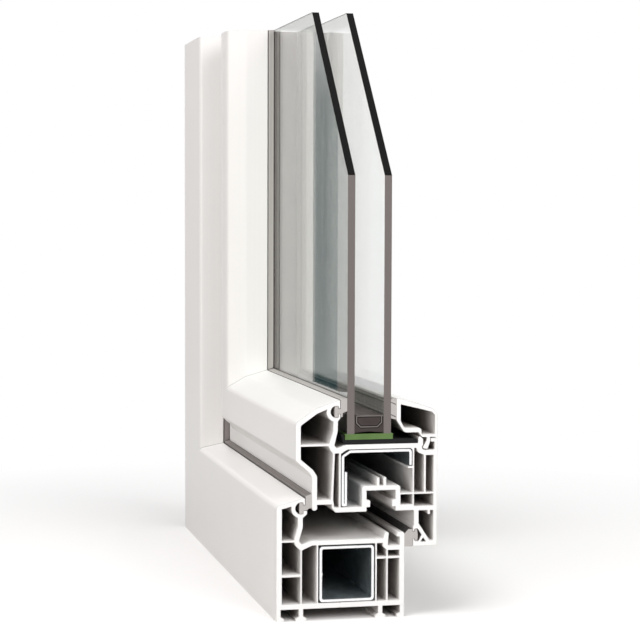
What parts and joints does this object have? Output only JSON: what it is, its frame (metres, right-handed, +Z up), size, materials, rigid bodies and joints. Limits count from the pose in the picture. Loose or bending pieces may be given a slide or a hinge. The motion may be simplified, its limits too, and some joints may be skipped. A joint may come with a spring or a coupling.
{
  "type": "pvc window profile",
  "caption": "Corner sample of a white pvc window: mitred frame and sash extrusions with steel inserts, seals, clipped glazing bead and double glazing with a slanted cut.",
  "frame": {"origin": "centre of the bounding box in plan, at the level of the frame's feet", "axes": "+X from the outside of the window towards the room, +Y from the cut ends back to the side members, +Z up along the side members"},
  "size_m": [0.088, 0.314, 0.33],
  "materials": {
    "white_pvc": "smooth white extruded pvc with a soft gloss",
    "galvanised_steel": "galvanised sheet with bright cut ends",
    "grey_seal": "matt grey elastomer",
    "clear_glass": "clear float glass with dark cut edges",
    "spacer_metal": "dark satin",
    "drying_agent": "dull packed granules",
    "edge_sealant": "matt dark sealing compound",
    "green_plastic": "matt moulded plastic",
    "black_plastic": "matt moulded plastic"
  },
  "bodies": {
    "root": {"frame_bottom_profile": "white_pvc", "frame_side_profile": "white_pvc", "frame_bottom_steel": "galvanised_steel", "frame_side_steel": "galvanised_steel", "frame_bottom_seal": "grey_seal", "frame_side_seal": "grey_seal", "sash_bottom_profile": "white_pvc", "sash_side_profile": "white_pvc", "sash_bottom_steel": "galvanised_steel", "sash_side_steel": "galvanised_steel", "overlap_bottom_seal": "grey_seal", "overlap_side_seal": "grey_seal", "glazing_bottom_seal": "grey_seal", "glazing_side_seal": "grey_seal", "bead_bottom": "white_pvc", "bead_side": "white_pvc", "bead_bottom_seal": "grey_seal", "bead_side_seal": "grey_seal", "outer_pane": "clear_glass", "inner_pane": "clear_glass", "spacer_bar": "spacer_metal", "drying_agent": "drying_agent", "edge_seal": "edge_sealant", "setting_block": "green_plastic", "glazing_bridge": "black_plastic"}
  },
  "joints": []
}
